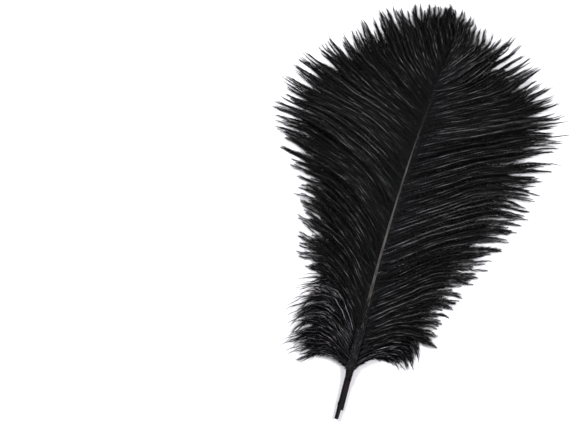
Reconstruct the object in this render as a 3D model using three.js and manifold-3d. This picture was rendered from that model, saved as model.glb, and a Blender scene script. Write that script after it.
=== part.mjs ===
// A black ostrich plume, lying on a table with the back of its shaft up.
// Millimetres. +Y runs from the cut end of the quill to the tip of the plume, +X is its
// right-hand side and +Z is up from the table, which is z = 0.
// The shaft is one solid. The barbs that grow from its two sides are so many and so fine
// that each row of them is one thin curved sheet, which reaches the tips of its barbs.
import * as THREE from "three";
import { mergeVertices } from "three/addons/utils/BufferGeometryUtils.js";
import Module from "manifold-3d";

// ---- Driving dimensions ----
// Distances along the feather are counted from the cut end of the quill.
const MIDDLE_X = 5; // from the quill's line to the middle of the plume's width
const MIDDLE_Y = 140; // half of the plume's length

const SHAFT_LENGTH = 257;
const SHAFT_STEP = 4.5; // distance between two sections of the shaft
const SHAFT_SIDES = 16;
const QUILL_WIDTH = 4.3;
const QUILL_X = 0.6; // the straight lower part of the shaft lies this far to the right
const SWEEP_START = 90; // from here the shaft bends to the right
const SWEEP_SPAN = 166;
const SWEEP = 12.8; // how far it has bent at the end
const REST_HEIGHT = QUILL_WIDTH / 2; // of the middle of the quill, where it touches the table
const ARCH = 17; // extra height of the shaft at its crest
const ARCH_SPAN = 280;

const RACHIS_START = 72; // the round quill ends and the grooved upper shaft starts
const GROOVE_DEPTH = 0.3; // of the half width, on the underside
const GROOVE_HALF_ANGLE = 0.55; // radians

const LUMEN_RADIUS = 1.35; // the quill is a hollow tube
const LUMEN_DEPTH = 16;
const SPLIT_LENGTH = 6.8; // one half of the tube is broken off this far from the end

const ROOT_GAP = 0.35; // clear distance between the shaft and a row of barbs
const SHEET_AT_ROOT = 2.6; // thickness of a row of barbs at the shaft
const SHEET_AT_TIP = 1.4;
const LANDING = 0.82; // a barb has come down to the table at this part of its length
const BEND = 0.38; // reach of a barb's end directions, as a part of its length
const LOCK_NOTCH = 0.07; // every second station is shorter, where two locks of barbs part

// One row of barbs is told by a few of them, from the lowest to the highest:
// [root along the shaft, tip x, tip y, direction at the root, direction at the tip].
// Directions are degrees away from +Y, towards the row's own side.
const VANE_RIGHT = [
  [46, 49.5, 60, 64, 112],
  [56, 50, 72, 62, 98],
  [70, 57, 95, 58, 92],
  [84, 66, 114, 56, 90],
  [104, 77, 134, 57, 88],
  [124, 86, 153, 58, 90],
  [146, 90, 175, 60, 88],
  [160, 96, 191, 61, 84],
  [174, 99, 211, 62, 76],
  [190, 95, 231, 61, 66],
  [204, 85, 241, 58, 58],
  [216, 72, 252, 52, 50],
  [228, 50, 265, 44, 38],
  [240, 33, 270.5, 34, 26],
  [249, 18, 276.5, 20, 10],
  [256, 8, 280, 6, -8],
];
const VANE_LEFT = [
  [62, -43, 88, 30, 98],
  [76, -50, 104, 32, 100],
  [92, -55, 121, 36, 100],
  [106, -59, 136, 40, 100],
  [120, -63, 150, 42, 98],
  [132, -74, 163, 45, 92],
  [143, -82, 176, 48, 84],
  [153, -89, 189, 52, 66],
  [168, -85.5, 203, 55, 68],
  [184, -80, 215, 58, 76],
  [198, -69, 232, 57, 58],
  [210, -58, 246, 54, 50],
  [222, -44, 257, 48, 42],
  [236, -25, 269, 38, 32],
  [247, -4, 278.5, 22, 22],
  [256, 7.4, 280, 6, 12],
];
const DOWN_RIGHT = [
  [33, 35, 41.5, 38, 108],
  [36, 39, 43.5, 44, 120],
  [40, 42, 50, 50, 128],
  [45.2, 42.5, 57, 68, 116],
];
const DOWN_LEFT = [
  [35.5, -35, 32, 46, 118],
  [42, -42, 42, 42, 118],
  [51, -45, 60, 36, 116],
  [61.3, -44, 81, 32, 108],
];
const RIGHT = 1;
const LEFT = -1;

const wasm = await Module();
wasm.setup();

// ---- The shaft's line, which every piece follows ----

// Distance along the feather to a point on the middle of the shaft.
function shaftPoint(y) {
  const bent = Math.max(0, (y - SWEEP_START) / SWEEP_SPAN);
  const x = QUILL_X + SWEEP * bent ** 2;
  const z = REST_HEIGHT + ARCH * Math.sin((Math.PI * y) / ARCH_SPAN) ** 2;
  return new THREE.Vector3(x, y, z);
}

// Half the width of the shaft: an even quill, then a straight taper with a fine end.
function shaftHalfWidth(y) {
  const quill = QUILL_WIDTH / 2;
  const taper = Math.max(0, (y - RACHIS_START / 2) / (SHAFT_LENGTH - RACHIS_START / 2));
  return quill * (1 - 0.9 * taper ** 0.85);
}

// ---- Solids ----

// A closed geometry as a manifold-3d solid.
function solidOf(geometry) {
  const bare = geometry.clone();
  bare.deleteAttribute("normal");
  bare.deleteAttribute("uv");
  const merged = mergeVertices(bare, 1e-4);
  return new wasm.Manifold(
    new wasm.Mesh({
      numProp: 3,
      vertProperties: merged.attributes.position.array,
      triVerts: new Uint32Array(merged.index.array),
    }),
  );
}

// A manifold-3d solid as a geometry.
function geometryOf(solid) {
  const mesh = solid.getMesh();
  const geometry = new THREE.BufferGeometry();
  geometry.setAttribute("position", new THREE.BufferAttribute(mesh.vertProperties, 3));
  geometry.setIndex(new THREE.BufferAttribute(mesh.triVerts, 1));
  geometry.computeVertexNormals();
  return geometry;
}

// A closed geometry from a list of points and a list of corner numbers.
function geometryFrom(points, corners) {
  const geometry = new THREE.BufferGeometry().setFromPoints(points);
  geometry.setIndex(corners);
  geometry.computeVertexNormals();
  return geometry;
}

// ---- Shaft: round quill, then a narrow rachis with a groove along its underside ----

// One point of the shaft's section, at an angle counted from +X towards +Z.
function shaftSection(y, angle) {
  const half = shaftHalfWidth(y);
  const grown = THREE.MathUtils.smoothstep(y, RACHIS_START - 20, RACHIS_START + 20);
  const fromBelow = Math.abs(angle - 1.5 * Math.PI);
  const groove = GROOVE_DEPTH * grown * Math.max(0, 1 - fromBelow / GROOVE_HALF_ANGLE);
  const across = half * Math.cos(angle);
  const up = half * Math.sin(angle) * (1 - groove);
  return shaftPoint(y).add(new THREE.Vector3(across, 0, up));
}

function makeShaft() {
  const sections = Math.round(SHAFT_LENGTH / SHAFT_STEP);
  const points = [];
  const corners = [];
  for (let i = 0; i <= sections; i++) {
    for (let j = 0; j < SHAFT_SIDES; j++) {
      points.push(shaftSection((SHAFT_LENGTH * i) / sections, (2 * Math.PI * j) / SHAFT_SIDES));
    }
  }
  for (let i = 0; i < sections; i++) {
    for (let j = 0; j < SHAFT_SIDES; j++) {
      const a = i * SHAFT_SIDES + j;
      const b = i * SHAFT_SIDES + ((j + 1) % SHAFT_SIDES);
      corners.push(a, b + SHAFT_SIDES, b);
      corners.push(a, a + SHAFT_SIDES, b + SHAFT_SIDES);
    }
  }
  const first = points.push(shaftPoint(0)) - 1;
  const last = points.push(shaftPoint(SHAFT_LENGTH)) - 1;
  const top = sections * SHAFT_SIDES;
  for (let j = 0; j < SHAFT_SIDES; j++) {
    const next = (j + 1) % SHAFT_SIDES;
    corners.push(first, j, next);
    corners.push(last, top + next, top + j);
  }
  return solidOf(geometryFrom(points, corners))
    .subtract(solidOf(makeLumen()))
    .subtract(solidOf(makeSplit()));
}

// The hollow of the quill, open at the cut end.
function makeLumen() {
  const lumen = new THREE.CylinderGeometry(LUMEN_RADIUS, LUMEN_RADIUS * 0.8, LUMEN_DEPTH, 14);
  const middle = shaftPoint(LUMEN_DEPTH / 2 - 1);
  lumen.rotateX(Math.PI);
  return lumen.translate(middle.x, middle.y, middle.z);
}

// What is broken off the right half of the tube at its end, with a slanted edge.
function makeSplit() {
  const room = QUILL_WIDTH * 2;
  const split = new THREE.BoxGeometry(room, SPLIT_LENGTH * 2, room * 2);
  split.rotateZ(0.12);
  return split.translate(QUILL_X + 0.45 + room / 2, 0, REST_HEIGHT);
}

// ---- Rows of barbs ----

// The value between four told ones, on a smooth curve through the middle two.
function smooth(a, b, c, d, f) {
  const square = 2 * a - 5 * b + 4 * c - d;
  const cube = 3 * b - a - 3 * c + d;
  return b + 0.5 * f * (c - a + f * (square + f * cube));
}

// The told values of one barb of a row, at a place 0 to 1 from its first to its last barb.
function barbValues(row, place) {
  const along = place * (row.length - 1);
  const i = Math.min(Math.floor(along), row.length - 2);
  const at = (k) => row[THREE.MathUtils.clamp(k, 0, row.length - 1)];
  return row[i].map((_, n) =>
    smooth(at(i - 1)[n], at(i)[n], at(i + 1)[n], at(i + 2)[n], along - i),
  );
}

// One barb in plan, as a curve from its root at the shaft's side to its tip.
function barbCurve(values, side) {
  const [rootY, tipX, tipY, rootAngle, tipAngle] = values;
  const rootX = shaftPoint(rootY).x + side * (shaftHalfWidth(rootY) + ROOT_GAP);
  const root = new THREE.Vector2(rootX, rootY);
  const tip = new THREE.Vector2(tipX, tipY);
  const reach = BEND * root.distanceTo(tip);
  const towards = (degrees) => {
    const angle = THREE.MathUtils.degToRad(degrees);
    return new THREE.Vector2(side * Math.sin(angle), Math.cos(angle)).multiplyScalar(reach);
  };
  const afterRoot = root.clone().add(towards(rootAngle));
  const beforeTip = tip.clone().sub(towards(tipAngle));
  return new THREE.CubicBezierCurve(root, afterRoot, beforeTip, tip);
}

// A row of barbs as a closed sheet: its barbs side by side, from root to tip, sagging
// from the shaft's height to the table. Its underside is flat where it lies on the table.
function makeRow(row, side, stations, steps) {
  const top = [];
  const under = [];
  for (let i = 0; i <= stations; i++) {
    const values = barbValues(row, i / stations);
    const curve = barbCurve(values, side);
    const inside = i > 0 && i < stations;
    const length = inside && i % 2 ? 1 - LOCK_NOTCH : 1;
    for (let j = 0; j <= steps; j++) {
      const along = (length * j) / steps;
      const place = curve.getPoint(along);
      const sag = 0.5 * (1 + Math.cos(Math.PI * Math.min(1, along / LANDING)));
      const thickness = THREE.MathUtils.lerp(SHEET_AT_ROOT, SHEET_AT_TIP, along);
      const low = Math.max(0, (shaftPoint(values[0]).z - SHEET_AT_ROOT / 2) * sag);
      under.push(new THREE.Vector3(place.x, place.y, low));
      top.push(new THREE.Vector3(place.x, place.y, low + thickness));
    }
  }
  return solidOf(geometryFrom([...top, ...under], sheetCorners(stations, steps, side)));
}

// The corner numbers of a closed sheet: its top grid, its underside and its four edges.
function sheetCorners(stations, steps, side) {
  const wide = steps + 1;
  const below = (stations + 1) * wide;
  const corners = [];
  const quad = (a, b, c, d) => {
    const ring = side === RIGHT ? [a, b, c, d] : [d, c, b, a];
    corners.push(ring[0], ring[1], ring[2], ring[0], ring[2], ring[3]);
  };
  for (let i = 0; i < stations; i++) {
    for (let j = 0; j < steps; j++) {
      const a = i * wide + j;
      quad(a, a + 1, a + wide + 1, a + wide);
      quad(below + a, below + a + wide, below + a + wide + 1, below + a + 1);
    }
    const root = i * wide;
    const tip = root + steps;
    quad(root, root + wide, below + root + wide, below + root);
    quad(tip, below + tip, below + tip + wide, tip + wide);
  }
  for (let j = 0; j < steps; j++) {
    const first = j;
    const last = stations * wide + j;
    quad(first, below + first, below + first + 1, first + 1);
    quad(last, last + 1, below + last + 1, below + last);
  }
  return corners;
}

// ---- Materials and the finished feather ----

const keratin = new THREE.MeshStandardMaterial({ color: 0x2f2a27, roughness: 0.4, metalness: 0 });
const blackBarbs = new THREE.MeshStandardMaterial({ color: 0x0d0d10, roughness: 0.6, metalness: 0 });
const blackDown = new THREE.MeshStandardMaterial({ color: 0x141317, roughness: 0.75, metalness: 0 });

const feather = new THREE.Group();

function addPiece(name, solid, material) {
  const piece = new THREE.Mesh(geometryOf(solid), material);
  piece.name = name;
  feather.add(piece);
}

addPiece("shaft", makeShaft(), keratin);
addPiece("vane_right", makeRow(VANE_RIGHT, RIGHT, 60, 10), blackBarbs);
addPiece("vane_left", makeRow(VANE_LEFT, LEFT, 60, 10), blackBarbs);
addPiece("down_right", makeRow(DOWN_RIGHT, RIGHT, 12, 8), blackDown);
addPiece("down_left", makeRow(DOWN_LEFT, LEFT, 12, 8), blackDown);
feather.position.set(-MIDDLE_X, -MIDDLE_Y, 0);

export default feather;
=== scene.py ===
import math

import bpy
import numpy as np
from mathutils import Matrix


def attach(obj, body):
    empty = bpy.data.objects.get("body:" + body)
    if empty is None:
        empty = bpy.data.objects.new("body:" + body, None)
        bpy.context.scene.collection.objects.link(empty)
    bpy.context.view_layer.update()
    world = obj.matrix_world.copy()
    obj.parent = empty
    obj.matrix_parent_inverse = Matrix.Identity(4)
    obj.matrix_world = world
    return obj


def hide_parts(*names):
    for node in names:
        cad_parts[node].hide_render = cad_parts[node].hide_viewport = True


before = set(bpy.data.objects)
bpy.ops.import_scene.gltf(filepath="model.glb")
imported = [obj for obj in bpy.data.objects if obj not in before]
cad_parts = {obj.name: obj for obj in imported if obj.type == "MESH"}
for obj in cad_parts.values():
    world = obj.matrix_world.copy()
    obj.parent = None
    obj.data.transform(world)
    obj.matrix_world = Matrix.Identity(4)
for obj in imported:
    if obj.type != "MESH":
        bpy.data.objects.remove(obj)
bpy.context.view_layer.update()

# The shaft: one rod of black dyed horn. Its bare foot, the quill, is a hollow tube whose cut end
# has split, so that the right half of the wall is gone. Higher up it is the rachis, a solid,
# tapering beam with a groove along its underside, which carries the barbs on its two sides.
MM = 0.001
QUILL_END = (-5 * MM, -140 * MM)
SHAFT_LENGTH = 257 * MM
QUILL_WIDTH = 4.3 * MM
QUILL_X = 0.6 * MM
SWEEP, SWEEP_START, SWEEP_SPAN = 12.8 * MM, 90 * MM, 166 * MM
ARCH, ARCH_SPAN = 17 * MM, 280 * MM
RACHIS_START = 36 * MM
RACHIS_TAPER, TAPER_POWER = 0.9, 0.85
GROOVE_START, GROOVE_WHOLE = 52 * MM, 92 * MM
GROOVE_DEPTH, GROOVE_HALF_ANGLE = 0.3 * MM, 0.55
RIDGE_DEPTH, RIDGES_ROUND, RIDGE_SWAY, RIDGE_PITCH = 0.0175, 17, 9, 23 * MM
SWELL_DEPTH, SWELLS_ROUND, SWELL_PITCH = 0.015, 5, 31 * MM
KNOB_UP, KNOB_LENGTH, KNOB_HEIGHT = 10 * MM, 1.1 * MM, 0.45 * MM
KNOB_ANGLE, KNOB_SPAN = 2.9, 0.35
SPLIT_LENGTH, SPLIT_HALF_ANGLE, SPLIT_EDGE = 6.8 * MM, 1.36, 0.05
RIM_RAGGED, SPLIT_RAGGED = 0.35 * MM, 1.1
LUMEN_RADIUS, LUMEN_DEPTH, LUMEN_STATIONS = 1.35 * MM, 15 * MM, 14
LUMEN_CLOSING, LUMEN_LEFT = 6, 0.02
LUMEN_UNROUND, LUMEN_LOBES, LUMEN_TURN = 0.06, 3, 2
SHAFT_STATIONS, SHAFT_SIDES = 220, 48
FOOT, FOOT_STATIONS, FOOT_CROWDING = 14 * MM, 24, 1.3
TABLE_GAP = 0.02 * MM
SHAFT_POINT, LUMEN_POINT = 0.4 * MM, 0.3 * MM
# The dye along the shaft, by the share of its length: black on the quill with one reddish band, grey brown
# along the middle of the rachis, and black again towards the tip.
HORN_COLOURS = [
    (0.00, (0.0064, 0.0058, 0.0062)), (0.07, (0.0060, 0.0054, 0.0058)),
    (0.10, (0.0120, 0.0064, 0.0062)), (0.16, (0.0040, 0.0036, 0.0036)),
    (0.24, (0.011, 0.010, 0.009)), (0.31, (0.044, 0.041, 0.039)),
    (0.55, (0.044, 0.041, 0.039)), (0.75, (0.020, 0.019, 0.018)), (1.00, (0.008, 0.0075, 0.008))]
STREAK_SCALE, STREAK_DETAIL = (900, 50, 900), 5
STREAK_FROM, STREAK_TO = 0.3, 0.7
STREAK_DARK, STREAK_LIGHT = 0.1, 2.2
# Painted light on the shaft: a painted highlight along its crown, falling to painted shade on its sides and
# all over the hollow.
CROWN_LIGHT_FROM, CROWN_LIGHT_WHOLE, SIDE_SHADE_LEAST = 0.62, 0.9, 0.15
HORN_SMOOTH, HORN_ROUGH, HORN_SPECULAR = 0.32, 0.55, 0.045
STREAK_BUMP, STREAK_HEIGHT = 0.35, 0.1 * MM


def smoothstep(low, high, x):
    """0 below low, 1 above high, and 3f^2 - 2f^3 between them, f being the share of the way."""
    f = np.clip((x - low) / (high - low), 0, 1)
    return f * f * (3 - 2 * f)


def mix(a, b, share):
    """a where share is 0, b where it is 1, and a straight blend between."""
    return a + (b - a) * share


def shaft_middle(y):
    """The shaft's centre line: straight, then swept to the right by the square of the way
    past SWEEP_START, and arched off the surface by the square of a half wave."""
    x = QUILL_X + SWEEP * np.maximum(0, (y - SWEEP_START) / SWEEP_SPAN) ** 2
    z = QUILL_WIDTH / 2 + ARCH * np.sin(np.pi * np.clip(y / ARCH_SPAN, 0, 1)) ** 2
    return x, z


def shaft_half(y):
    """Half the shaft's width: constant along the quill, then falling by a power of the way."""
    way = np.maximum(0, (y - RACHIS_START) / (SHAFT_LENGTH - RACHIS_START))
    return QUILL_WIDTH / 2 * (1 - RACHIS_TAPER * way ** TAPER_POWER)


def from_right(angle):
    """How far an angle round the shaft is from due right, from 0 to pi."""
    return np.abs((angle + np.pi) % (2 * np.pi) - np.pi)


def broken_rim(angle):
    """How far up the shaft the quill's rim stands at each angle: about 0 on the left, and
    SPLIT_LENGTH within SPLIT_HALF_ANGLE of due right. Both are made ragged by random steps,
    each the mean of three neighbours."""
    steps = np.random.default_rng(3).normal(0, RIM_RAGGED, SHAFT_SIDES + 2)
    ragged = np.convolve(steps, np.ones(3) / 3, "valid")
    whole = smoothstep(SPLIT_HALF_ANGLE - SPLIT_EDGE, SPLIT_HALF_ANGLE + SPLIT_EDGE, from_right(angle))
    split = SPLIT_LENGTH + SPLIT_RAGGED * ragged
    return np.maximum(0, (1 - whole) * split + whole * np.abs(ragged))


def shaft_radius(y, angle):
    """The shaft's outer radius: half its width, with fine ridges that sway and broad swells that
    wind round it, both cosines of the angle. The groove, a half wave across its angle, is taken
    off below, and a knob on the quill, a product of two bell curves, is added."""
    half = shaft_half(y)
    ridges = RIDGE_DEPTH * np.cos(RIDGES_ROUND * angle + RIDGE_SWAY * np.sin(y / RIDGE_PITCH))
    swells = SWELL_DEPTH * np.cos(SWELLS_ROUND * angle + y / SWELL_PITCH)
    below = np.cos(np.clip((angle - 1.5 * np.pi) / GROOVE_HALF_ANGLE, -1, 1) * np.pi / 2)
    groove = GROOVE_DEPTH * smoothstep(GROOVE_START, GROOVE_WHOLE, y) * half / (QUILL_WIDTH / 2)
    knob = np.exp(-((y - KNOB_UP) / KNOB_LENGTH) ** 2)
    knob = knob * np.exp(-((from_right(angle) - KNOB_ANGLE) / KNOB_SPAN) ** 2)
    return half * (1 + ridges + swells) - groove * below + KNOB_HEIGHT * knob


def shaft_mesh():
    """A grid of stations by angle, closed by a point at each end. It runs from the rachis's
    tip down the outside, over the quill's broken rim and up the inside of the hollow, whose
    radius closes by the root of 1 less a high power of the way. Also gives each point's crown,
    the sine of its angle: 1 on the back of the shaft, 0 at its sides, and -1 all over the hollow."""
    angle = np.linspace(0, 2 * np.pi, SHAFT_SIDES, endpoint=False)
    rim = broken_rim(angle)
    up = np.concatenate([np.linspace(0, 1, FOOT_STATIONS) ** FOOT_CROWDING * FOOT,
                         np.linspace(FOOT, SHAFT_LENGTH, SHAFT_STATIONS - FOOT_STATIONS)[1:]])
    y = np.where(up[:, None] < FOOT, rim + up[:, None] * (1 - rim / FOOT), up[:, None])
    x0, z0 = shaft_middle(y)
    radius = shaft_radius(y, angle)
    height = np.maximum(TABLE_GAP, z0 + radius * np.sin(angle))
    outside = np.stack([x0 + radius * np.cos(angle), y, height], -1)
    deeper = np.linspace(0, 1, LUMEN_STATIONS)[:, None]
    y_in = rim + (LUMEN_DEPTH - rim) * deeper
    x_in, z_in = shaft_middle(y_in)
    unround = 1 + LUMEN_UNROUND * np.cos(LUMEN_LOBES * angle + LUMEN_TURN)
    inner = LUMEN_RADIUS * np.sqrt(np.maximum(LUMEN_LEFT, 1 - deeper ** LUMEN_CLOSING)) * unround
    inside = np.stack([x_in + inner * np.cos(angle), y_in, z_in + inner * np.sin(angle)], -1)
    rings = np.concatenate([outside[::-1], inside])
    tip = rings[0].mean(0) + [0, SHAFT_POINT, 0]
    bottom = rings[-1].mean(0) + [0, LUMEN_POINT, 0]
    points = np.concatenate([rings.reshape(-1, 3), [tip, bottom]])
    points[:, :2] += QUILL_END
    here = np.arange(len(rings) * SHAFT_SIDES).reshape(len(rings), SHAFT_SIDES)
    after = np.roll(here, -1, axis=1)
    walls = np.stack([here[:-1], here[1:], after[1:], after[:-1]], -1).reshape(-1, 4)
    over_tip = np.stack([here[0], after[0], np.full(SHAFT_SIDES, here.size)], -1)
    over_bottom = np.stack([after[-1], here[-1], np.full(SHAFT_SIDES, here.size + 1)], -1)
    crown = np.full(len(points), -1.0)
    crown[:len(outside) * SHAFT_SIDES] = np.tile(np.sin(angle), len(outside))
    return points, [walls, over_tip, over_bottom], crown


def add_mesh(name, points, faces, uv=None):
    """A mesh object at the origin from an array of points and a list of face arrays, each of
    one corner count. uv holds one place per point for the piece's own map."""
    corners = np.concatenate([f.ravel() for f in faces])
    counts = np.concatenate([np.full(len(f), f.shape[1]) for f in faces])
    mesh = bpy.data.meshes.new(name)
    mesh.vertices.add(len(points))
    mesh.vertices.foreach_set("co", np.asarray(points, np.float32).ravel())
    mesh.loops.add(len(corners))
    mesh.loops.foreach_set("vertex_index", corners.astype(np.int32))
    mesh.polygons.add(len(counts))
    mesh.polygons.foreach_set("loop_start", (np.cumsum(counts) - counts).astype(np.int32))
    if uv is not None:
        layer = mesh.uv_layers.new(name="OFBake")
        layer.uv.foreach_set("vector", uv[corners].astype(np.float32).ravel())
    mesh.update(calc_edges=True)
    mesh.shade_smooth()
    piece = bpy.data.objects.new(name, mesh)
    bpy.context.scene.collection.objects.link(piece)
    return piece


def new_material(name):
    """A node material with a shader joined to its output. Gives the material, its nodes, its
    links and the shader."""
    material = bpy.data.materials.new(name)
    material.use_nodes = True
    nodes, links = material.node_tree.nodes, material.node_tree.links
    nodes.clear()
    shader = nodes.new("ShaderNodeBsdfPrincipled")
    output = nodes.new("ShaderNodeOutputMaterial")
    links.new(shader.outputs["BSDF"], output.inputs["Surface"])
    return material, nodes, links, shader


def add_node(nodes, kind, values=(), **settings):
    """A node of this kind. Its settings are made first, and then its inputs get their values."""
    node = nodes.new(kind)
    for setting, choice in settings.items():
        setattr(node, setting, choice)
    for socket, value in dict(values).items():
        node.inputs[socket].default_value = value
    return node


def ramp_node(nodes, stops):
    """A colour ramp with the given (place, colour) stops, colours being linear RGB."""
    node = nodes.new("ShaderNodeValToRGB")
    elements = node.color_ramp.elements
    while len(elements) < len(stops):
        elements.new(1)
    for element, (place, colour) in zip(elements, stops):
        element.position = place
        element.color = (*colour, 1)
    return node


def keratin():
    """Black dyed horn. Its colour is that of the dye, by the place along Y, times two shades: streaks, which
    are noise drawn out along the shaft, and painted light, a painted highlight that is whole on the shaft's
    crown and falls to painted shade towards its sides and all over the hollow. The streaks also roughen it
    and stand a little higher."""
    material, nodes, links, shader = new_material("dyed keratin")
    where = add_node(nodes, "ShaderNodeTexCoord")
    apart = add_node(nodes, "ShaderNodeSeparateXYZ")
    links.new(where.outputs["Object"], apart.inputs["Vector"])
    along = add_node(nodes, "ShaderNodeMapRange", {
        "From Min": QUILL_END[1], "From Max": QUILL_END[1] + SHAFT_LENGTH})
    links.new(apart.outputs["Y"], along.inputs["Value"])
    dye = ramp_node(nodes, HORN_COLOURS)
    links.new(along.outputs["Result"], dye.inputs["Fac"])
    stretch = add_node(nodes, "ShaderNodeMapping", {"Scale": STREAK_SCALE})
    links.new(where.outputs["Object"], stretch.inputs["Vector"])
    streaks = add_node(nodes, "ShaderNodeTexNoise", {"Scale": 1, "Detail": STREAK_DETAIL})
    links.new(stretch.outputs["Vector"], streaks.inputs["Vector"])
    contrast = add_node(nodes, "ShaderNodeMapRange", {
        "From Min": STREAK_FROM, "From Max": STREAK_TO, "To Min": STREAK_DARK, "To Max": STREAK_LIGHT})
    links.new(streaks.outputs["Fac"], contrast.inputs["Value"])
    # Painted light: the crown is painted lit, and the sides and the hollow are painted in shade.
    crown = add_node(nodes, "ShaderNodeAttribute", attribute_name="crown")
    painted_crown_light = add_node(nodes, "ShaderNodeMapRange", {
        "From Min": CROWN_LIGHT_FROM, "From Max": CROWN_LIGHT_WHOLE, "To Min": SIDE_SHADE_LEAST},
        interpolation_type="SMOOTHSTEP")
    links.new(crown.outputs["Fac"], painted_crown_light.inputs["Value"])
    shade = add_node(nodes, "ShaderNodeMath", operation="MULTIPLY")
    links.new(contrast.outputs["Result"], shade.inputs[0])
    links.new(painted_crown_light.outputs["Result"], shade.inputs[1])
    tint = add_node(nodes, "ShaderNodeMix", data_type="RGBA", blend_type="MULTIPLY")
    tint.inputs["Factor"].default_value = 1
    links.new(dye.outputs["Color"], tint.inputs["A"])
    links.new(shade.outputs["Value"], tint.inputs["B"])
    links.new(tint.outputs["Result"], shader.inputs["Base Color"])
    rough = add_node(nodes, "ShaderNodeMapRange", {"To Min": HORN_SMOOTH, "To Max": HORN_ROUGH})
    links.new(streaks.outputs["Fac"], rough.inputs["Value"])
    links.new(rough.outputs["Result"], shader.inputs["Roughness"])
    bump = add_node(nodes, "ShaderNodeBump", {"Strength": STREAK_BUMP, "Distance": STREAK_HEIGHT})
    links.new(streaks.outputs["Fac"], bump.inputs["Height"])
    links.new(bump.outputs["Normal"], shader.inputs["Normal"])
    shader.inputs["Specular IOR Level"].default_value = HORN_SPECULAR
    return material


points, faces, crown = shaft_mesh()
shaft = add_mesh("shaft_horn", points, faces)
# The crown carries the painted highlight on the shaft's back and the painted shade on its sides and in the
# hollow.
shaft.data.attributes.new("crown", "FLOAT", "POINT").data.foreach_set("value", crown)
shaft.data.materials.append(keratin())
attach(shaft, "root")
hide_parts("shaft")

# The right-hand row: 300 soft barbs of dyed horn, grown from the side of the rachis. Each is a
# thread with fine barbules along both its sides. They hang together in locks of two to five
# barbs, larger ones towards the crown, which part into points at the edge.
RIGHT = 1
RIGHT_BARBS, RIGHT_BARBULES = 300, 86000
# Each key is a barb, in millimetres and degrees: how far up its root is, its tip's place, and
# the angles off the shaft at which it leaves and ends.
RIGHT_KEYS = np.array([
    [49, 49.5, 61, 50, 112], [55, 50, 72, 54, 98], [64, 57, 94, 54, 86], [79, 66, 114, 53, 84],
    [97, 75, 135.5, 55, 85], [115, 84.5, 153.5, 57, 87], [136, 87, 175.5, 59, 87], [152, 96, 192, 60, 83],
    [169, 98, 211, 61, 75], [187, 93, 228.5, 64, 60], [197, 84, 240, 64, 47], [206, 72.5, 250.5, 61, 39],
    [214, 60, 259.5, 58, 35], [223, 48, 268.5, 50, 32], [232, 31.5, 269.5, 41, -4], [243, 19, 274.5, 28, -8],
    [254, 7, 277.5, 12, -12]])
BARB_POINTS = 36
BEND = 0.38
SHAFT_HIDES = 165 * MM, 220 * MM
FOOT_BARES = 50 * MM, 64 * MM
ROOT_GAP = 0.2 * MM
ROOT_AT_FOOT, ROOT_BESIDE, ROOT_HIDDEN = 0.1, 0.42, 0.05


def keys_at(keys, place):
    """The key table's values at places from 0 to 1, on a smooth curve through the keys."""
    along = place * (len(keys) - 1)
    start = np.clip(np.floor(along).astype(int), 0, len(keys) - 2)
    before, low, high, past = (keys[np.clip(start + k, 0, len(keys) - 1)] for k in (-1, 0, 1, 2))
    f = (along - start)[:, None]
    square = 2 * before - 5 * low + 4 * high - past + f * (3 * low - before - 3 * high + past)
    return low + 0.5 * f * (high - before + f * square)


def bare(root_y):
    """0 where barbs cover the foot of the shaft, 1 where they leave it bare and spring from its
    sides, with a smooth step between."""
    return smoothstep(*FOOT_BARES, root_y)


def heading(side, degrees):
    """Unit steps seen from above, turned by so many degrees from the shaft towards this side."""
    turn = np.radians(degrees)
    return np.stack([side * np.sin(turn), np.cos(turn)], -1)


def barb_lines(keys, side, place, t, bend=BEND):
    """Where the barbs at these places run, seen from above: a cubic curve from the side of the
    shaft to the tip, leaving and ending at the two angles. t is the way along each, and may
    go a little past 1. Also gives the roots' height up the shaft."""
    root_y, tip_x, tip_y, leave, end = keys_at(keys, place).T
    root_y, tip_x, tip_y = root_y * MM, tip_x * MM, tip_y * MM
    closed = smoothstep(*SHAFT_HIDES, root_y)
    shown = mix(ROOT_AT_FOOT, mix(ROOT_BESIDE, ROOT_HIDDEN, closed), bare(root_y))
    beside = shaft_half(root_y) * shown + ROOT_GAP * (1 - closed)
    root_x = shaft_middle(root_y)[0] + side * beside
    root, tip = np.stack([root_x, root_y], -1), np.stack([tip_x, tip_y], -1)
    reach = (bend * np.linalg.norm(tip - root, axis=1))[:, None]
    corners = root, root + reach * heading(side, leave), tip - reach * heading(side, end), tip
    a, b, c, d = (corner[:, None] for corner in corners)
    t = t[..., None]
    return (1 - t) ** 3 * a + 3 * (1 - t) ** 2 * t * b + 3 * (1 - t) * t ** 2 * c + t ** 3 * d, root_y


TINY = 1e-12


def across(lines):
    """Unit steps square to lines seen from above, to the left of their way."""
    step = np.gradient(lines, axis=1)
    step /= np.linalg.norm(step, axis=-1, keepdims=True) + TINY
    return np.stack([-step[..., 1], step[..., 0]], -1)


RIDGE_SIZES, LOCK_SIZES = (2, 3), (2, 5)
LARGER_FROM = 0.62


def deal(rng, count, fewest, most, more=0):
    """Deals count barbs, in order, into groups of fewest to most, as each one's group number.
    From LARGER_FROM of the way up the row, each group gets so many more."""
    sizes = rng.integers(fewest, most + 1, count)
    sizes += more * (np.cumsum(sizes) > LARGER_FROM * count)
    return np.searchsorted(np.cumsum(sizes), np.arange(count), side="right")


def group_means(group, values):
    """For each barb, the mean of the values in its group."""
    return (np.bincount(group, values) / np.bincount(group))[group]


RIDGE_PULL, RIDGE_WAY = 0.8, (0.03, 0.2)
LOCK_PULL, LOWEST_PULL, SHORT_PULL = 0.95, 0.4, 0.3
PART_AT, PART_LATER, PART_SPAN = 0.76, 0.05, 0.24
LATER_PLACES, EARLY_PLACES, TIGHT_PLACES = (0.3, 0.5), (0.6, 0.8), (0.2, 0.45)


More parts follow.
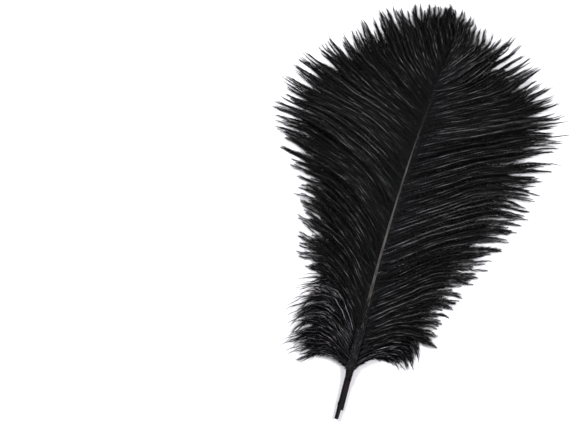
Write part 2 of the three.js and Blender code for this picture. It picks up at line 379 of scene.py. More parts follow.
def drawn_together(keys, side, place, along, bend, ridge, lock, hold, short, early):
    """Where the barbs run seen from above, and their roots' height up the shaft. Each blends
    from its own line to that at its ridge's mean place, near the root, and then to that at its
    lock's mean place, past the parting. That comes later in the lower part of the row and by
    early sooner in the upper part. Both pulls are times hold, and short barbs part more."""
    own, root_y = barb_lines(keys, side, place, along, bend)
    ridge_line, _ = barb_lines(keys, side, group_means(ridge, place), along, bend)
    lock_line, _ = barb_lines(keys, side, group_means(lock, place), along, bend)
    to_ridge = RIDGE_PULL * hold * smoothstep(*RIDGE_WAY, along)
    later = PART_LATER * (1 - smoothstep(*LATER_PLACES, place))
    parting = (PART_AT + later - early * smoothstep(*EARLY_PLACES, place))[:, None]
    tight = mix(LOWEST_PULL, 1, smoothstep(*TIGHT_PLACES, place))[:, None]
    to_lock = LOCK_PULL * tight * hold * (1 - SHORT_PULL * short[:, None])
    to_lock = to_lock * smoothstep(parting, parting + PART_SPAN, along)
    return mix(mix(own, ridge_line, to_ridge[..., None]), lock_line, to_lock[..., None]), root_y


LOCK_BEND, OWN_BEND, STRAY_BEND, STRAY_POWER = 0.017, 0.006, 0.05, 0.8
ROW_WAVE, ROW_WAVES, ROW_WAVE_DRIFT, ROW_WAVE_START = 0.8 * MM, 1.7, 5, 0.3
LOCK_WAVE, LOCK_WAVES = 0.35 * MM, 2.9
OWN_WAVE, OWN_WAVES = 0.2 * MM, 5.3
TIP_SPREAD, TIP_SPREAD_FROM = 0.25 * MM, 0.6


def strayed(rng, place, along, length, lock, is_stray, wild):
    """How far each barb lies to the left of its line, and its own phase. Its lock's bend grows
    by the cube of the way and its own by the square; a stray bows out and comes back. The waves
    of the row, the lock and the barb are sines of the way. wild enlarges what is its own."""
    count, locks = len(lock), lock.max() + 1
    lock_bend = rng.normal(0, LOCK_BEND, locks)[lock, None] * length * along ** 3
    own_bend = (rng.normal(0, OWN_BEND, count) * wild)[:, None] * length * along ** 2
    stray_bend = np.where(is_stray, rng.normal(0, STRAY_BEND, count), 0)[:, None] * length
    stray_bend = stray_bend * np.sin(np.pi * along ** STRAY_POWER)
    row_phase = 2 * np.pi * (ROW_WAVE_DRIFT * place[:, None] + ROW_WAVE_START)
    row_wave = ROW_WAVE * np.sin(2 * np.pi * ROW_WAVES * along + row_phase) * along
    lock_phase = rng.uniform(0, 2 * np.pi, locks)[lock, None]
    lock_wave = LOCK_WAVE * np.sin(2 * np.pi * LOCK_WAVES * along + lock_phase) * along
    own_phase = rng.uniform(0, 2 * np.pi, (count, 1))
    own_wave = OWN_WAVE * np.sqrt(wild)[:, None] * np.sin(2 * np.pi * OWN_WAVES * along + own_phase)
    own_wave = own_wave * np.sqrt(along)
    apart = (rng.normal(0, TIP_SPREAD, count) * wild)[:, None] * smoothstep(TIP_SPREAD_FROM, 1, along)
    return lock_bend + own_bend + stray_bend + row_wave + lock_wave + own_wave + apart, own_phase


SHEET_DROP, LANDING = 1.3 * MM, 0.82
SHEET_AT_ROOT, SHEET_AT_TIP = 2.6 * MM, 1.4 * MM
LAYERS, LOOSE_LAYER, STRAY_LAYER = (0.3, 0.8), 0.1, 1.3
LOCK_CROWN, CROWN_WAY = 0.8 * MM, (0.3, 0.7)
SWELL_POWER, LOOSE_SWELL = 0.75, 0.2
FEW_RAISED, MIDDLE_RAISED = 1.7, 0.6
RAISE, RAISED_AT_TIP, RAISE_WAY, SINK_WAY = 2.6 * MM, 0.35, (0.03, 0.3), (0.5, 1)
TIP_LIFT = 2.5 * MM
RIPPLE, RIPPLES = 0.2 * MM, 3.7


def heights(rng, along, middle_z, lock, rank, is_loose, is_stray, own_phase, lift):
    """How high each barb lies, and how far it is raised out of the row, 0 to 1. The row falls by
    a half cosine wave from the shaft to where it lands. Barbs lie in layers of its thickness;
    locks are rounded across, swell by a half wave, and their tips turn up by the cube of the
    way. Raised barbs, mostly a lock's middle ones, stand out along their way and sink again
    towards the tip."""
    locks = lock.max() + 1
    low = (middle_z - SHEET_DROP) * 0.5 * (1 + np.cos(np.pi * np.minimum(1, along / LANDING)))
    sheet = mix(SHEET_AT_ROOT, SHEET_AT_TIP, along)
    layer = rng.uniform(*LAYERS, len(lock))
    layer = np.where(is_loose, LOOSE_LAYER, np.where(is_stray, STRAY_LAYER, layer))[:, None]
    lain = np.where(is_loose, 0, 1)
    round_top = LOCK_CROWN * (lain * (1 - rank ** 2))[:, None] * smoothstep(*CROWN_WAY, along)
    rise = np.sin(np.pi * np.minimum(1, along ** SWELL_POWER))
    swell = lift * rng.uniform(0, 1, locks)[lock, None] * rise * mix(LOOSE_SWELL, 1, lain)[:, None]
    raised = rng.uniform(0, 1, len(lock)) ** FEW_RAISED * lain * (1 - rank ** 2) ** MIDDLE_RAISED
    over = RAISE * raised[:, None] * smoothstep(*RAISE_WAY, along)
    over = over * mix(1, RAISED_AT_TIP, smoothstep(*SINK_WAY, along))
    tip_up = rng.uniform(0, 1, locks)[lock, None] ** 2 * TIP_LIFT * along ** 3
    ripple = RIPPLE * np.sin(2 * np.pi * RIPPLES * along + own_phase)
    return low + sheet * layer + round_top + swell + over + tip_up + ripple, raised


LEAST_HEIGHT, OVER_SHAFT = 0.15 * MM, 0.1 * MM


def over_shaft(lines, z):
    """Heights z raised to LEAST_HEIGHT, and over the shaft to just above its round top."""
    x0, z0 = shaft_middle(lines[..., 1])
    half = shaft_half(lines[..., 1])
    off = np.abs(lines[..., 0] - x0) / half
    top = z0 + half * np.sqrt(np.maximum(0, 1 - off ** 2)) + OVER_SHAFT
    return np.maximum(np.where(off < 1, np.maximum(z, top), z), LEAST_HEIGHT)


PLACE_JITTER = 0.4
LOOSE_SHARE, STRAY_SHARE, LOOSE_HOLD = 0.18, 0.05, 0.2
LOCK_REACH, LOCK_REACH_SPREAD, LOCK_REACH_ENDS = 1.045, 0.03, (0.96, 1.06)
LOOSE_REACH = 0.88, 0.97
SHORTEST, FEW_SHORT, SIDES_SHORTER, WILDEST_REACH = 0.07, 1.3, 0.06, 2.2
BEND_SPREAD = 0.05
ROOT_AT_FOOT_HEIGHT, ROOT_BESIDE_HEIGHT, ROOT_WAY = 0.95, 0.6, 0.07


def grow_row(seed, keys, side, count, more=0, early=0.1, lift=2.6 * MM, bend=BEND,
             unruly=1.0, calm_at=(0.1, 0.35)):
    """The paths of a row's barbs, as (barbs, points, 3), and how far each is raised out of the
    row, 0 to 1. Barbs are dealt into ridges of two or three and into locks, which differ in
    reach, bend, waves and height. A share of loose barbs keeps its own line low down, and a few
    strays lie crosswise on top. The first barbs of a row are unruly times as wild as the rest,
    which is smoothly calmed between the two places of calm_at."""
    rng = np.random.default_rng(seed)
    place = (np.arange(count) + 0.5 + rng.uniform(-PLACE_JITTER, PLACE_JITTER, count)) / count
    ridge = deal(rng, count, *RIDGE_SIZES)
    lock = deal(rng, count, *LOCK_SIZES, more)
    size = np.bincount(lock)
    rank = (np.arange(count) - (np.cumsum(size) - size)[lock] + 0.5) / size[lock] * 2 - 1
    kind = rng.uniform(0, 1, count)
    is_loose, is_stray = kind < LOOSE_SHARE, kind > 1 - STRAY_SHARE
    hold = np.where(is_loose | is_stray, LOOSE_HOLD, 1)[:, None]
    wild = mix(unruly, 1, smoothstep(*calm_at, place))
    lock_reach = np.clip(rng.normal(LOCK_REACH, LOCK_REACH_SPREAD, len(size)), *LOCK_REACH_ENDS)
    short = rng.uniform(0, 1, count) ** FEW_SHORT
    shorter = SHORTEST * short * np.minimum(wild, WILDEST_REACH)
    reach = lock_reach[lock] * (1 - shorter - SIDES_SHORTER * rank ** 2)
    reach = np.where(is_loose, reach * rng.uniform(*LOOSE_REACH, count), reach)
    bend = bend * (1 + rng.normal(0, BEND_SPREAD, count) * (wild - 1))
    along = np.linspace(0, 1, BARB_POINTS) * reach[:, None]
    lines, root_y = drawn_together(keys, side, place, along, bend, ridge, lock, hold, short, early)
    length = np.linalg.norm(np.diff(lines, axis=1), axis=-1).sum(1)[:, None]
    aside, own_phase = strayed(rng, place, along, length, lock, is_stray, wild)
    lines = lines + across(lines) * aside[..., None]
    middle_z = shaft_middle(root_y)[1][:, None]
    z, raised = heights(rng, along, middle_z, lock, rank, is_loose, is_stray, own_phase, lift)
    root_share = mix(ROOT_AT_FOOT_HEIGHT, ROOT_BESIDE_HEIGHT, bare(root_y))
    root_z = middle_z + (shaft_half(root_y) * root_share)[:, None]
    z = over_shaft(lines, mix(root_z, z, smoothstep(0, ROOT_WAY, along)))
    paths = np.concatenate([lines, z[..., None]], -1)
    paths[..., :2] += QUILL_END
    return paths, raised


def frames(paths):
    """At each point of each path: its unit way, a unit step to its left and one upwards."""
    way = np.gradient(paths, axis=1)
    way /= np.linalg.norm(way, axis=-1, keepdims=True) + TINY
    left = np.cross([0.0, 0.0, 1.0], way)
    left /= np.linalg.norm(left, axis=-1, keepdims=True) + TINY
    return way, left, np.cross(way, left)


# Painted shade: barbs and barbules are drawn darker where they leave the shaft.
SHADED_ROOT_TONE, ROOT_SHADE_WAY = 0.66, (0.04, 0.26)


def painted_root_shade(t):
    """Painted shade by the shaft: the share of its tone that a barb shows, low at its root and rising
    smoothly to 1.
    """
    return mix(SHADED_ROOT_TONE, 1, smoothstep(*ROOT_SHADE_WAY, t))


LEAST_TONE, MOST_TONE, TONE_WIDTH = 0.01, 0.99, 0.002
THREAD_SIDES = 3
BARB_ROOT_RADIUS, BARB_TIP_RADIUS, NARROWING = 0.19 * MM, 0.06 * MM, 1.3
ROOT_NECK, NECK_WAY = 0.75, (0.02, 0.1)
FLAT_AT_ROOT, FLAT_AT_TIP, FLAT_WAY = 2.4, 1.2, (0.04, 0.24)
TONE_SWING, SLOW_SWINGS, QUICK_SWINGS, SWING_STEP = 0.25, 2.3, 6.1, 2.4


def threads(paths, tone):
    """Closed thin tubes along paths: a ring of points at each step, flatter near the root, with a face over
    each end. The radius narrows to the tip by a power of the way, and at the root is a neck. u of the map is
    the thread's tone, which carries its painted highlight, swings by two sines and is painted darker towards
    the root, and v the way."""
    barbs, steps, _ = paths.shape
    way, left, up = frames(paths)
    t = np.linspace(0, 1, steps)
    radius = mix(BARB_ROOT_RADIUS, BARB_TIP_RADIUS, t ** NARROWING)
    radius = radius * mix(ROOT_NECK, 1, smoothstep(*NECK_WAY, t))
    angle = np.arange(THREAD_SIDES) / THREAD_SIDES * 2 * np.pi + np.pi / 2
    flat = mix(FLAT_AT_ROOT, FLAT_AT_TIP, smoothstep(*FLAT_WAY, t))[:, None, None]
    ring = left[:, :, None] * np.cos(angle)[:, None] * flat + up[:, :, None] * np.sin(angle)[:, None]
    points = paths[:, :, None] + radius[:, None, None] * ring
    phase = np.arange(barbs)[:, None, None] * SWING_STEP
    swing = TONE_SWING * np.sin(2 * np.pi * SLOW_SWINGS * t[:, None] + phase)
    swing = swing + TONE_SWING * np.sin(2 * np.pi * QUICK_SWINGS * t[:, None] + 3 * phase)
    u = (tone[:, None, None] + swing) * painted_root_shade(t)[:, None]
    u = np.clip(u, LEAST_TONE, MOST_TONE) + TONE_WIDTH * np.linspace(-1, 1, THREAD_SIDES)
    v = np.broadcast_to(t[:, None], (barbs, steps, THREAD_SIDES))
    uv = np.stack([np.broadcast_to(u, v.shape), v], -1)
    here = np.arange(v.size).reshape(v.shape)
    after = np.roll(here, -1, axis=2)
    walls = np.stack([here[:, :-1], after[:, :-1], after[:, 1:], here[:, 1:]], -1).reshape(-1, 4)
    ends = np.concatenate([here[:, 0, ::-1], here[:, -1]])
    return points.reshape(-1, 3), [walls, ends], uv.reshape(-1, 2)


FIRST_SPOT, LAST_SPOT, SPOT_CROWDING = 0.008, 0.99, 1.3


def barbule_spots(rng, paths, count):
    """Which thread each of count barbules sits on and how far along it, and the threads'
    lengths. Threads get them by their length, one at random in each equal step, and a power of
    the way crowds them towards the tip."""
    length = np.linalg.norm(np.diff(paths, axis=1), axis=-1).sum(1)
    share = np.rint(np.cumsum(length) / length.sum() * count).astype(int)
    each = np.diff(np.concatenate([[0], share]))
    owner = np.repeat(np.arange(len(paths)), each)
    order = np.arange(count) - np.repeat(share - each, each)
    t = (order + rng.uniform(0, 1, count)) / each[owner]
    return owner, mix(FIRST_SPOT, LAST_SPOT, 1 - (1 - t) ** SPOT_CROWDING), length


BARBULE_ANGLES, RUFFLED_ANGLE, ANGLE_SPREAD = (38, 25, 7), 15, 0.25
ROOT_ANGLE_WAY, TIP_ANGLE_WAY = (0.06, 0.24), (0.68, 0.93)
DIP_AT_ROOT, DIP, DIP_SPREAD, DIP_WAY = -2, -19, 8, (0.02, 0.09)
LENGTH_AT_ROOT, LENGTHEN_WAY = 0.75, (0, 0.3)
LENGTH_AT_TIP, RUFFLED_LENGTH_AT_TIP, SHORTEN_WAY = 0.5, 0.74, (0.8, 1)
LENGTHS, LAST_LENGTH, LAST_WAY = (0.5, 1.15), 0.4, (0.92, 1)
SPIKE_WIDTH, SPIKE_THICKNESS = 0.38 * MM, 0.09 * MM
WIDER_AT_ROOT, WIDER, WIDER_WAY = 1.8, 1.3, (0.08, 0.3)
WIDTH_AT_TIP, NARROW_WAY, WIDTHS = 0.44, (0.66, 0.9), (0.7, 1.2)
ROLL_SPREAD, ROLL_AT_ROOT, ROLL_WAY = 0.55, 0.35, (0.1, 0.35)
TIP_CLEARANCE = 0.12 * MM
ROOTED = 0.02
TONE_SPREAD = 0.1


def barbules(seed, paths, tone, count, longest, angles=BARBULE_ANGLES, width=SPIKE_WIDTH, ruff=0.0):
    """Flat closed spikes of four faces, set along both sides of the threads. Each leaves its
    thread at an angle that falls towards the thread's tip, droops, and is rolled at random.
    Near the tip they get narrower and shorter; where ruff is 1 they stay longer and more open there. longest
    and ruff are one value, or one for each thread. u of the map is a tone near the thread's, which carries
    its painted highlight and is painted darker towards the root, and v the way along."""
    rng = np.random.default_rng(seed)
    barbs, steps, _ = paths.shape
    owner, t, length = barbule_spots(rng, paths, count)
    spot = t * (steps - 1)
    low = np.minimum(spot.astype(int), steps - 2)
    f = (spot - low)[:, None]
    way, left, up = (mix(g[owner, low], g[owner, low + 1], f) for g in frames(paths))
    start = mix(paths[owner, low], paths[owner, low + 1], f)
    side = np.where(rng.uniform(0, 1, count) < 0.5, -1.0, 1.0)
    ruffled = np.broadcast_to(ruff, barbs)[owner]
    at_root, at_middle, at_tip = angles
    at_tip = mix(at_tip, RUFFLED_ANGLE, ruffled)
    angle = mix(at_root, at_middle, smoothstep(*ROOT_ANGLE_WAY, t))
    angle = mix(angle, at_tip, smoothstep(*TIP_ANGLE_WAY, t))
    angle = np.radians(angle * rng.normal(1, ANGLE_SPREAD, count))
    dip = mix(DIP_AT_ROOT, DIP, smoothstep(*DIP_WAY, t))
    dip = np.radians(rng.normal(dip, DIP_SPREAD))
    flat = way * np.cos(angle)[:, None] + left * (side * np.sin(angle))[:, None]
    aim = flat * np.cos(dip)[:, None] + up * np.sin(dip)[:, None]
    tip_length = mix(LENGTH_AT_TIP, RUFFLED_LENGTH_AT_TIP, ruffled)
    size = np.broadcast_to(longest, barbs)[owner]
    size = size * mix(LENGTH_AT_ROOT, 1, smoothstep(*LENGTHEN_WAY, t))
    size = size * mix(1, tip_length, smoothstep(*SHORTEN_WAY, t))
    size = size * rng.uniform(*LENGTHS, count) * mix(1, LAST_LENGTH, smoothstep(*LAST_WAY, t))
    aim *= size[:, None]
    aim[:, 2] -= np.minimum(0, start[:, 2] + aim[:, 2] - TIP_CLEARANCE)
    wide = np.cross(up, flat)
    wide /= np.linalg.norm(wide, axis=-1, keepdims=True)
    high = np.cross(flat, wide)
    roll = rng.normal(0, ROLL_SPREAD, count) * mix(ROLL_AT_ROOT, 1, smoothstep(*ROLL_WAY, t))
    turned, risen = np.cos(roll)[:, None], np.sin(roll)[:, None]
    wide, high = wide * turned + high * risen, high * turned - wide * risen
    wider = mix(WIDER_AT_ROOT, WIDER, smoothstep(*WIDER_WAY, t))
    wider = wider * mix(1, WIDTH_AT_TIP, smoothstep(*NARROW_WAY, t))
    half = (width / 2 * rng.uniform(*WIDTHS, count) * wider)[:, None]
    base = start - ROOTED * aim
    corners = base + wide * half, base - wide * half, base + high * SPIKE_THICKNESS, start + aim
    points = np.stack(corners, 1)
    shade = (tone[owner] + rng.normal(0, TONE_SPREAD, count)) * painted_root_shade(t)
    shade = np.clip(shade, LEAST_TONE, MOST_TONE)
    u = np.stack([shade + TONE_WIDTH, shade - TONE_WIDTH, shade, shade], 1)
    v = np.stack([t, t, t, np.minimum(1, t + size / length[owner])], 1)
    first = np.arange(count)[:, None] * 4
    faces = np.concatenate([first + [0, 3, 2], first + [2, 3, 1], first + [1, 3, 0], first + [0, 2, 1]])
    return points.reshape(-1, 3), [faces], np.stack([u, v], -1).reshape(-1, 2)


# Painted light: barbs low in the row get a shaded tone, and raised ones a lit tone that stands for their
# highlight.
SHADED_TONE, LIT_TONE, TONE_RISE = 0.16, 0.86, 0.85
BARB_TONE_SPREAD, TONE_ENDS = 0.12, (0.02, 0.98)


def row_tones(seed, raised, bright=LIT_TONE):
    """One tone for each barb, from a painted shade low down to a painted highlight on the most raised, by a
    power of how far it is raised, and some of its own by chance. bright is one value, or one a barb."""
    rng = np.random.default_rng(seed)
    tones = mix(SHADED_TONE, bright, raised ** TONE_RISE) + rng.normal(0, BARB_TONE_SPREAD, len(raised))
    return np.clip(tones, *TONE_ENDS)


TINT_FROM, TINT_TO = 0.05, 0.52
TONE_POWER, DULLEST_SHADE = 3, 0.75
FIBRE_ROUGH, FIBRE_SMOOTH = 0.55, 0.38


def fibre_group():
    """The colour and gloss of a dyed fibre, from its map. v, the way from root to tip, takes it smoothly
    from one tint to the other; where the root tint is darker, it is painted shade by the shaft. u is its own
    tone, which holds painted highlight and painted shade: the tint is multiplied by the tone's cube times
    the contrast, plus DULLEST_SHADE, and a higher tone is smoother."""
    group = bpy.data.node_groups.new("dyed fibre", "ShaderNodeTree")
    face = group.interface
    face.new_socket("Tone and way", in_out="INPUT", socket_type="NodeSocketVector")
    face.new_socket("Root tint", in_out="INPUT", socket_type="NodeSocketColor")
    face.new_socket("Tip tint", in_out="INPUT", socket_type="NodeSocketColor")
    face.new_socket("Contrast", in_out="INPUT", socket_type="NodeSocketFloat")
    face.new_socket("Color", in_out="OUTPUT", socket_type="NodeSocketColor")
    face.new_socket("Roughness", in_out="OUTPUT", socket_type="NodeSocketFloat")
    nodes, links = group.nodes, group.links
    given, made = nodes.new("NodeGroupInput"), nodes.new("NodeGroupOutput")
    apart = add_node(nodes, "ShaderNodeSeparateXYZ")
    links.new(given.outputs["Tone and way"], apart.inputs["Vector"])
    way = add_node(nodes, "ShaderNodeMapRange", {"From Min": TINT_FROM, "From Max": TINT_TO},
                   interpolation_type="SMOOTHSTEP")
    links.new(apart.outputs["Y"], way.inputs["Value"])
    tint = add_node(nodes, "ShaderNodeMix", data_type="RGBA")
    links.new(way.outputs["Result"], tint.inputs["Factor"])
    links.new(given.outputs["Root tint"], tint.inputs["A"])
    links.new(given.outputs["Tip tint"], tint.inputs["B"])
    skewed = add_node(nodes, "ShaderNodeMath", {1: TONE_POWER}, operation="POWER")
    links.new(apart.outputs["X"], skewed.inputs[0])
    spread = add_node(nodes, "ShaderNodeMath", {2: DULLEST_SHADE}, operation="MULTIPLY_ADD")
    links.new(skewed.outputs["Value"], spread.inputs[0])
    links.new(given.outputs["Contrast"], spread.inputs[1])
    shade = add_node(nodes, "ShaderNodeMix", data_type="RGBA", blend_type="MULTIPLY")
    shade.inputs["Factor"].default_value = 1
    links.new(tint.outputs["Result"], shade.inputs["A"])
    links.new(spread.outputs["Value"], shade.inputs["B"])
    links.new(shade.outputs["Result"], made.inputs["Color"])
    rough = add_node(nodes, "ShaderNodeMapRange", {"To Min": FIBRE_ROUGH, "To Max": FIBRE_SMOOTH})
    links.new(apart.outputs["X"], rough.inputs["Value"])
    links.new(rough.outputs["Result"], made.inputs["Roughness"])
    return group


FIBRE_GROUP = fibre_group()


def fibre_material(name, root_tint, tip_tint, contrast, specular):
    """A material that takes its colour and gloss from the fibre group, by the piece's map."""
    material, nodes, links, shader = new_material(name)
    place = add_node(nodes, "ShaderNodeUVMap", uv_map="OFBake")
    fibre = add_node(nodes, "ShaderNodeGroup", node_tree=FIBRE_GROUP)
    fibre.inputs["Root tint"].default_value = (*root_tint, 1)
    fibre.inputs["Tip tint"].default_value = (*tip_tint, 1)
    fibre.inputs["Contrast"].default_value = contrast
    links.new(place.outputs["UV"], fibre.inputs["Tone and way"])
    links.new(fibre.outputs["Color"], shader.inputs["Base Color"])
    links.new(fibre.outputs["Roughness"], shader.inputs["Roughness"])
    shader.inputs["Specular IOR Level"].default_value = specular
    return material


def add_fibres(name, node, slot, stuff, points, faces, uv):
    """A fibre piece, made of this stuff, that rides on the feather and stands for a CAD row."""
    piece = add_mesh(name, points, faces, uv)
    piece.data.materials.append(stuff)
    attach(piece, "root")
    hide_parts(node)


BARBULE_STUFF = fibre_material(
    "barbules", (0.0098, 0.0098, 0.0106), (0.0078, 0.0074, 0.0075), contrast=2.2, specular=0.03)
BARBULE_LENGTH = 6.2 * MM
RUFFLED_TO, SMOOTH_FROM = 0.25, 0.55


def add_row(name, node, stuff, seeds, paths, tones, count, longest):
    """The pieces of a row: its threads, and count barbules, half of them on the lower half of
    its barbs and half on the upper. They are ruffled up to RUFFLED_TO of the way up the row,
    smoothly less above that, and not at all from SMOOTH_FROM on."""
    add_fibres(f"{name}_barbs", node, "barbs", stuff, *threads(paths, tones))
    ruff = 1 - smoothstep(RUFFLED_TO, SMOOTH_FROM, np.linspace(0, 1, len(paths)))
    middle = len(paths) // 2
    parts = ("lower", slice(middle)), ("upper", slice(middle, None))
    for seed, (part, own) in zip(seeds, parts):
        spikes = barbules(seed, paths[own], tones[own], count // 2, longest[own], ruff=ruff[own])
        add_fibres(f"{name}_barbules_{part}", node, "barbs", BARBULE_STUFF, *spikes)


# The right threads' darker root tint is painted shade by the shaft; their raised barbs' painted highlight is
# strongest in the lower part of the row.
RIGHT_STUFF = fibre_material(
    "right barb threads", (0.0086, 0.0085, 0.0094), (0.0135, 0.0131, 0.0128), contrast=19.0, specular=0.09)
LOWER_BRIGHT, BRIGHT_PLACES = 1.05, (0.25, 0.5)
CROWN_SHORTER, SHORTER_PLACES = 0.45, (0.55, 0.85)
paths, raised = grow_row(11, RIGHT_KEYS, RIGHT, RIGHT_BARBS, more=2, early=0.24)
upwards = np.linspace(0, 1, RIGHT_BARBS)
tones = row_tones(12, raised, bright=mix(LOWER_BRIGHT, LIT_TONE, smoothstep(*BRIGHT_PLACES, upwards)))
longest = BARBULE_LENGTH * (1 - CROWN_SHORTER * smoothstep(*SHORTER_PLACES, upwards))
add_row("right", "vane_right", RIGHT_STUFF, (13, 14), paths, tones, RIGHT_BARBULES, longest)

# The left-hand row: 310 barbs of the same horn, grown from the other side of the rachis. The
# lower ones first rise along the shaft and then bend sharply down and away; they are unruly,
# each bending and waving by itself.
LEFT = -1
LEFT_BARBS, LEFT_BARBULES = 310, 80000
LEFT_KEYS = np.array([
    [57, -43, 87, 26, 108], [68, -50, 104, 29, 92], [81, -55.5, 121, 33, 87], [94, -59.5, 136, 35, 85],
    [108, -63, 150, 37, 84], [121, -74, 163, 38, 87], [135, -82, 176, 41, 86], [149, -86.5, 190, 46, 82],
    [165, -84.5, 203, 49, 76], [179, -81, 216, 54, 70], [191, -72, 230.5, 58, 54], [199, -61, 243, 60, 42],
    [207, -49, 254, 57, 37], [216, -34.5, 264, 52, 31], [226, -20, 270.5, 44, 24], [238, -6, 275, 30, 14],
    [253, 6.5, 278, 10, 4]])
# The left threads' darker root tint is painted shade by the shaft, and their raised barbs get a weaker
# painted highlight than on the right.
LEFT_STUFF = fibre_material(
    "left barb threads", (0.0052, 0.0056, 0.0055), (0.0185, 0.018, 0.0175), contrast=16.0, specular=0.09)
LEFT_BRIGHT = 0.72
paths, raised = grow_row(21, LEFT_KEYS, LEFT, LEFT_BARBS, unruly=2.6)
tones = row_tones(22, raised, bright=LEFT_BRIGHT)
longest = np.full(LEFT_BARBS, BARBULE_LENGTH)
add_row("left", "vane_left", LEFT_STUFF, (23, 24), paths, tones, LEFT_BARBULES, longest)

# The right-hand down: a tuft of short barbs with long soft barbules, grown below the row. They
# rise along the shaft and curl over and down towards the quill. Seventy short barbs more lie
# along the foot of the shaft and cover it.
DOWN_RIGHT_BARBS, DOWN_RIGHT_BARBULES = 50, 10000
DOWN_RIGHT_KEYS = np.array([
    [33.5, 29, 42, 36, 122], [35, 35, 42, 37, 148], [38, 39.5, 46, 39, 162], [42, 41, 52.5, 42, 158],
    [47, 37, 60.5, 44, 138]])
DOWN_LIFT, DOWN_RIGHT_BEND = 3 * MM, 0.46
DOWN_LENGTH, DOWN_WIDTH = 4.8 * MM, 0.35 * MM
# Both down materials are darker at the root than at the tip: painted shade by the shaft.
DOWN_THREAD_STUFF = fibre_material(
    "down threads", (0.004, 0.004, 0.005), (0.018, 0.017, 0.018), contrast=30.0, specular=0.3)
DOWN_STUFF = fibre_material(
    "down", (0.0022, 0.0022, 0.0027), (0.0035, 0.0032, 0.0038), contrast=2.5, specular=0.025)
COVER_BARBS, COVER_BARBULES, COVER_POINTS = 70, 4200, 14
COVER_FROM, COVER_SHORT, COVER_LONG = 25 * MM, 13 * MM, 22 * MM
COVER_AT = np.array([24, 30, 38, 60, 84]) * MM
COVER_HALF = np.array([1.9, 2.3, 3.2, 3.2, 2.2]) * MM
COVER_ROOT_SHARE, COVER_OPENS = 0.75, (0, 0.6)
COVER_WAVE, COVER_WAVES = 0.12 * MM, 1.3
COVER_MOUND, COVER_MOUND_LEAST, COVER_LAYERS = 1.15, 0.05, (0.1, 0.5)
COVER_ANGLES = (22, 13, 7)
COVER_BRIGHT = 0.42


def cover_paths(seed, side, last_root, inner):
    """Barbs laid along the foot of the shaft, rounded over it as on a mound. Each starts
    between COVER_FROM and last_root, and keeps its own share of the cover's half width, from
    inner, past the middle, to 1; the share opens from root to tip, with a slight wave."""
    rng = np.random.default_rng(seed)
    t = np.linspace(0, 1, COVER_POINTS)
    root_y = rng.uniform(COVER_FROM, last_root, (COVER_BARBS, 1))
    y = root_y + rng.uniform(COVER_SHORT, COVER_LONG, (COVER_BARBS, 1)) * t
    x0, z0 = shaft_middle(y)
    share = rng.uniform(inner, 1, (COVER_BARBS, 1))
    share = share * mix(COVER_ROOT_SHARE, 1, smoothstep(*COVER_OPENS, t))
    phase = rng.uniform(0, 1, (COVER_BARBS, 1))
    wave = COVER_WAVE * np.sin(2 * np.pi * (COVER_WAVES * t + phase))
    x = x0 + side * np.interp(y, COVER_AT, COVER_HALF) * share + wave
    mound = np.sqrt(np.maximum(COVER_MOUND_LEAST, 1 - (share / COVER_MOUND) ** 2))
    z = z0 + shaft_half(y) * mound + rng.uniform(*COVER_LAYERS, (COVER_BARBS, 1)) * MM
    paths = np.stack([x, y, over_shaft(np.stack([x, y], -1), z)], -1)
    paths[..., :2] += QUILL_END
    return paths


def add_down(name, node, seed, paths, raised, count, cover):
    """The pieces of one side's down: the tuft's threads and barbules, whose tones carry the painted
    highlight and shade of the rows, and those of the cover, whose tones are mostly low, the square of an
    even chance. seed is the tuft's, and the pieces take the numbers after it."""
    tones = row_tones(seed + 1, raised)
    add_fibres(f"{name}_down_barbs", node, "down", DOWN_THREAD_STUFF, *threads(paths, tones))
    spikes = barbules(seed + 2, paths, tones, count, DOWN_LENGTH, width=DOWN_WIDTH)
    add_fibres(f"{name}_down_barbules", node, "down", DOWN_STUFF, *spikes)
    tones = np.random.default_rng(seed + 4).uniform(0, 1, COVER_BARBS) ** 2 * COVER_BRIGHT
    add_fibres(f"{name}_cover_barbs", node, "down", DOWN_THREAD_STUFF, *threads(cover, tones))
    spikes = barbules(seed + 5, cover, tones, COVER_BARBULES, BARBULE_LENGTH / 2, COVER_ANGLES)
    add_fibres(f"{name}_cover_barbules", node, "down", DOWN_STUFF, *spikes)


paths, raised = grow_row(31, DOWN_RIGHT_KEYS, RIGHT, DOWN_RIGHT_BARBS, lift=DOWN_LIFT,
                         bend=DOWN_RIGHT_BEND, unruly=2)
cover = cover_paths(34, RIGHT, last_root=62 * MM, inner=-0.3)
add_down("right", "down_right", 31, paths, raised, DOWN_RIGHT_BARBULES, cover)

# The left-hand down: eighty longer barbs of the same kind, which curl over and down along the
# surface and are unruly to the last, and seventy more that cover the foot of the shaft.
DOWN_LEFT_BARBS, DOWN_LEFT_BARBULES = 80, 16000
DOWN_LEFT_KEYS = np.array([
    [33.5, -35, 30, 60, 118], [37, -43, 38, 54, 130], [44, -46, 49, 46, 140], [50, -45.5, 65, 35, 135],
    [57, -46, 86, 26, 114]])
DOWN_LEFT_BEND, NEVER_CALM = 0.6, (2, 3)
paths, raised = grow_row(41, DOWN_LEFT_KEYS, LEFT, DOWN_LEFT_BARBS, lift=DOWN_LIFT,
                         bend=DOWN_LEFT_BEND, unruly=3.2, calm_at=NEVER_CALM)
cover = cover_paths(44, LEFT, last_root=46 * MM, inner=-0.2)
add_down("left", "down_left", 41, paths, raised, DOWN_LEFT_BARBULES, cover)

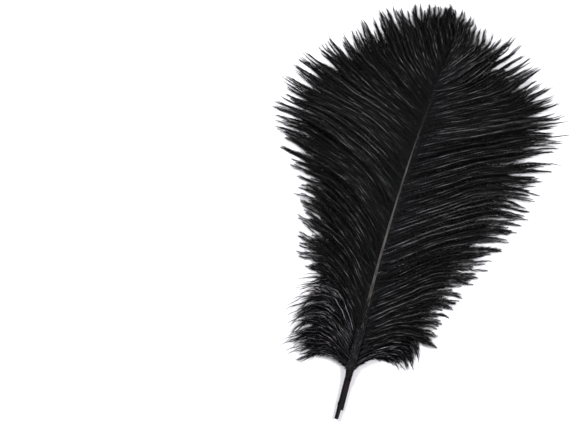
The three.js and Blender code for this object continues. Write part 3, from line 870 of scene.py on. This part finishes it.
# The stage: a white paper table seen from straight above, evenly lit by a white room and two
# large soft lamps, so that the table burns out to white and shadows stay faint.
FLOOR_SIDE = 8.0
FLOOR_CORNERS = np.array([[-1, -1, 0], [1, -1, 0], [1, 1, 0], [-1, 1, 0]]) * FLOOR_SIDE / 2
PAPER_DARK, PAPER_LIGHT, PAPER_ROUGH = (0.78, 0.77, 0.80), (0.82, 0.81, 0.835), 0.9
PAPER_GRAIN = 900
ROOM_COLOUR, ROOM_STRENGTH = (0.97, 0.97, 1.0, 1), 0.45
LAMP_PLACES = {"left lamp": (-0.75, 0.45, 1.2), "right lamp": (0.70, 0.35, 1.25)}
LAMP_POWER, LAMP_SIZE = 18, 0.5
CAMERA_HEIGHT, CAMERA_SENSOR = 1.2, 36
VIEW_WIDTH, VIEW_CENTRE = 370.5 * MM, (-70.9 * MM, -17.6 * MM)
VIEW_TURN = math.radians(14.2)

floor = add_mesh("table_top", FLOOR_CORNERS, [np.array([[0, 1, 2, 3]])])
paper, nodes, links, shader = new_material("white paper")
grain = add_node(nodes, "ShaderNodeTexNoise", {"Scale": PAPER_GRAIN})
shades = ramp_node(nodes, [(0.0, PAPER_DARK), (1.0, PAPER_LIGHT)])
links.new(grain.outputs["Fac"], shades.inputs["Fac"])
links.new(shades.outputs["Color"], shader.inputs["Base Color"])
shader.inputs["Roughness"].default_value = PAPER_ROUGH
floor.data.materials.append(paper)

world = bpy.data.worlds.new("white room")
world.use_nodes = True
world.node_tree.nodes["Background"].inputs["Color"].default_value = ROOM_COLOUR
world.node_tree.nodes["Background"].inputs["Strength"].default_value = ROOM_STRENGTH
bpy.context.scene.world = world

for name, place in LAMP_PLACES.items():
    lamp = bpy.data.objects.new(name, bpy.data.lights.new(name, "AREA"))
    lamp.data.shape = "DISK"
    lamp.data.size = LAMP_SIZE
    lamp.data.energy = LAMP_POWER
    lamp.location = place
    lamp.rotation_mode = "QUATERNION"
    lamp.rotation_quaternion = (-lamp.location).to_track_quat("-Z", "Y")
    bpy.context.scene.collection.objects.link(lamp)

camera = bpy.data.objects.new("camera", bpy.data.cameras.new("camera"))
camera.data.sensor_width = CAMERA_SENSOR
camera.data.lens = CAMERA_SENSOR * CAMERA_HEIGHT / VIEW_WIDTH
camera.location = (*VIEW_CENTRE, CAMERA_HEIGHT)
camera.rotation_euler = (0, 0, VIEW_TURN)
bpy.context.scene.collection.objects.link(camera)
bpy.context.scene.camera = camera
bpy.context.scene.view_settings.view_transform = "Standard"
